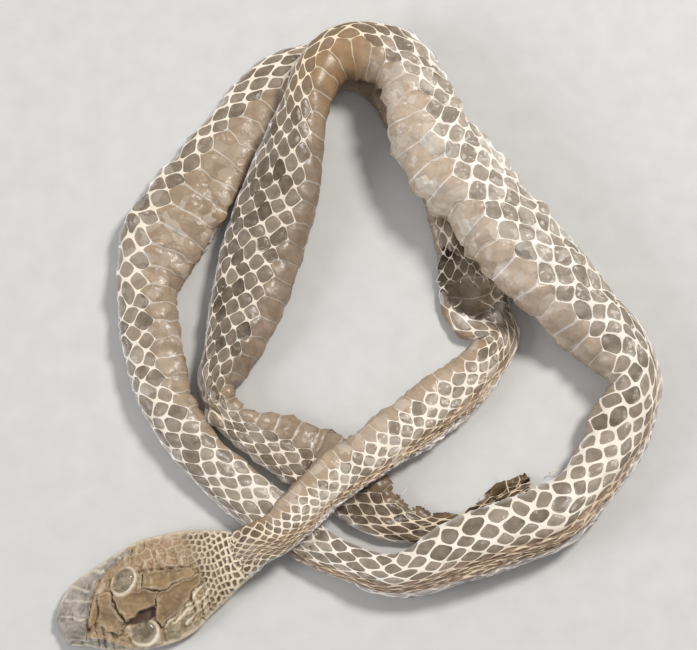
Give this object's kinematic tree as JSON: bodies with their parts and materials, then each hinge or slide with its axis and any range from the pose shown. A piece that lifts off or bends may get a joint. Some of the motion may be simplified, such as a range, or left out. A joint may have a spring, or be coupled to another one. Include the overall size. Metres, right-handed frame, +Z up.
{
  "type": "shed snake skin",
  "caption": "Hollow shed skin of a slender snake lying in a loose flat coil, with netted scales, broad belly scutes, a flattened head with clear eye caps, a torn fold and a torn tail.",
  "frame": {"origin": "middle of the underside of the coil's bounding box, on the surface it lies on", "axes": "+Z up from the surface; the head lies towards -X and -Y, the top of the coil towards +Y"},
  "size_m": [0.1453, 0.1578, 0.0188],
  "materials": {
    "skin": "dry translucent keratin, satin"
  },
  "bodies": {
    "root": {"shed_skin": "skin"}
  },
  "joints": []
}
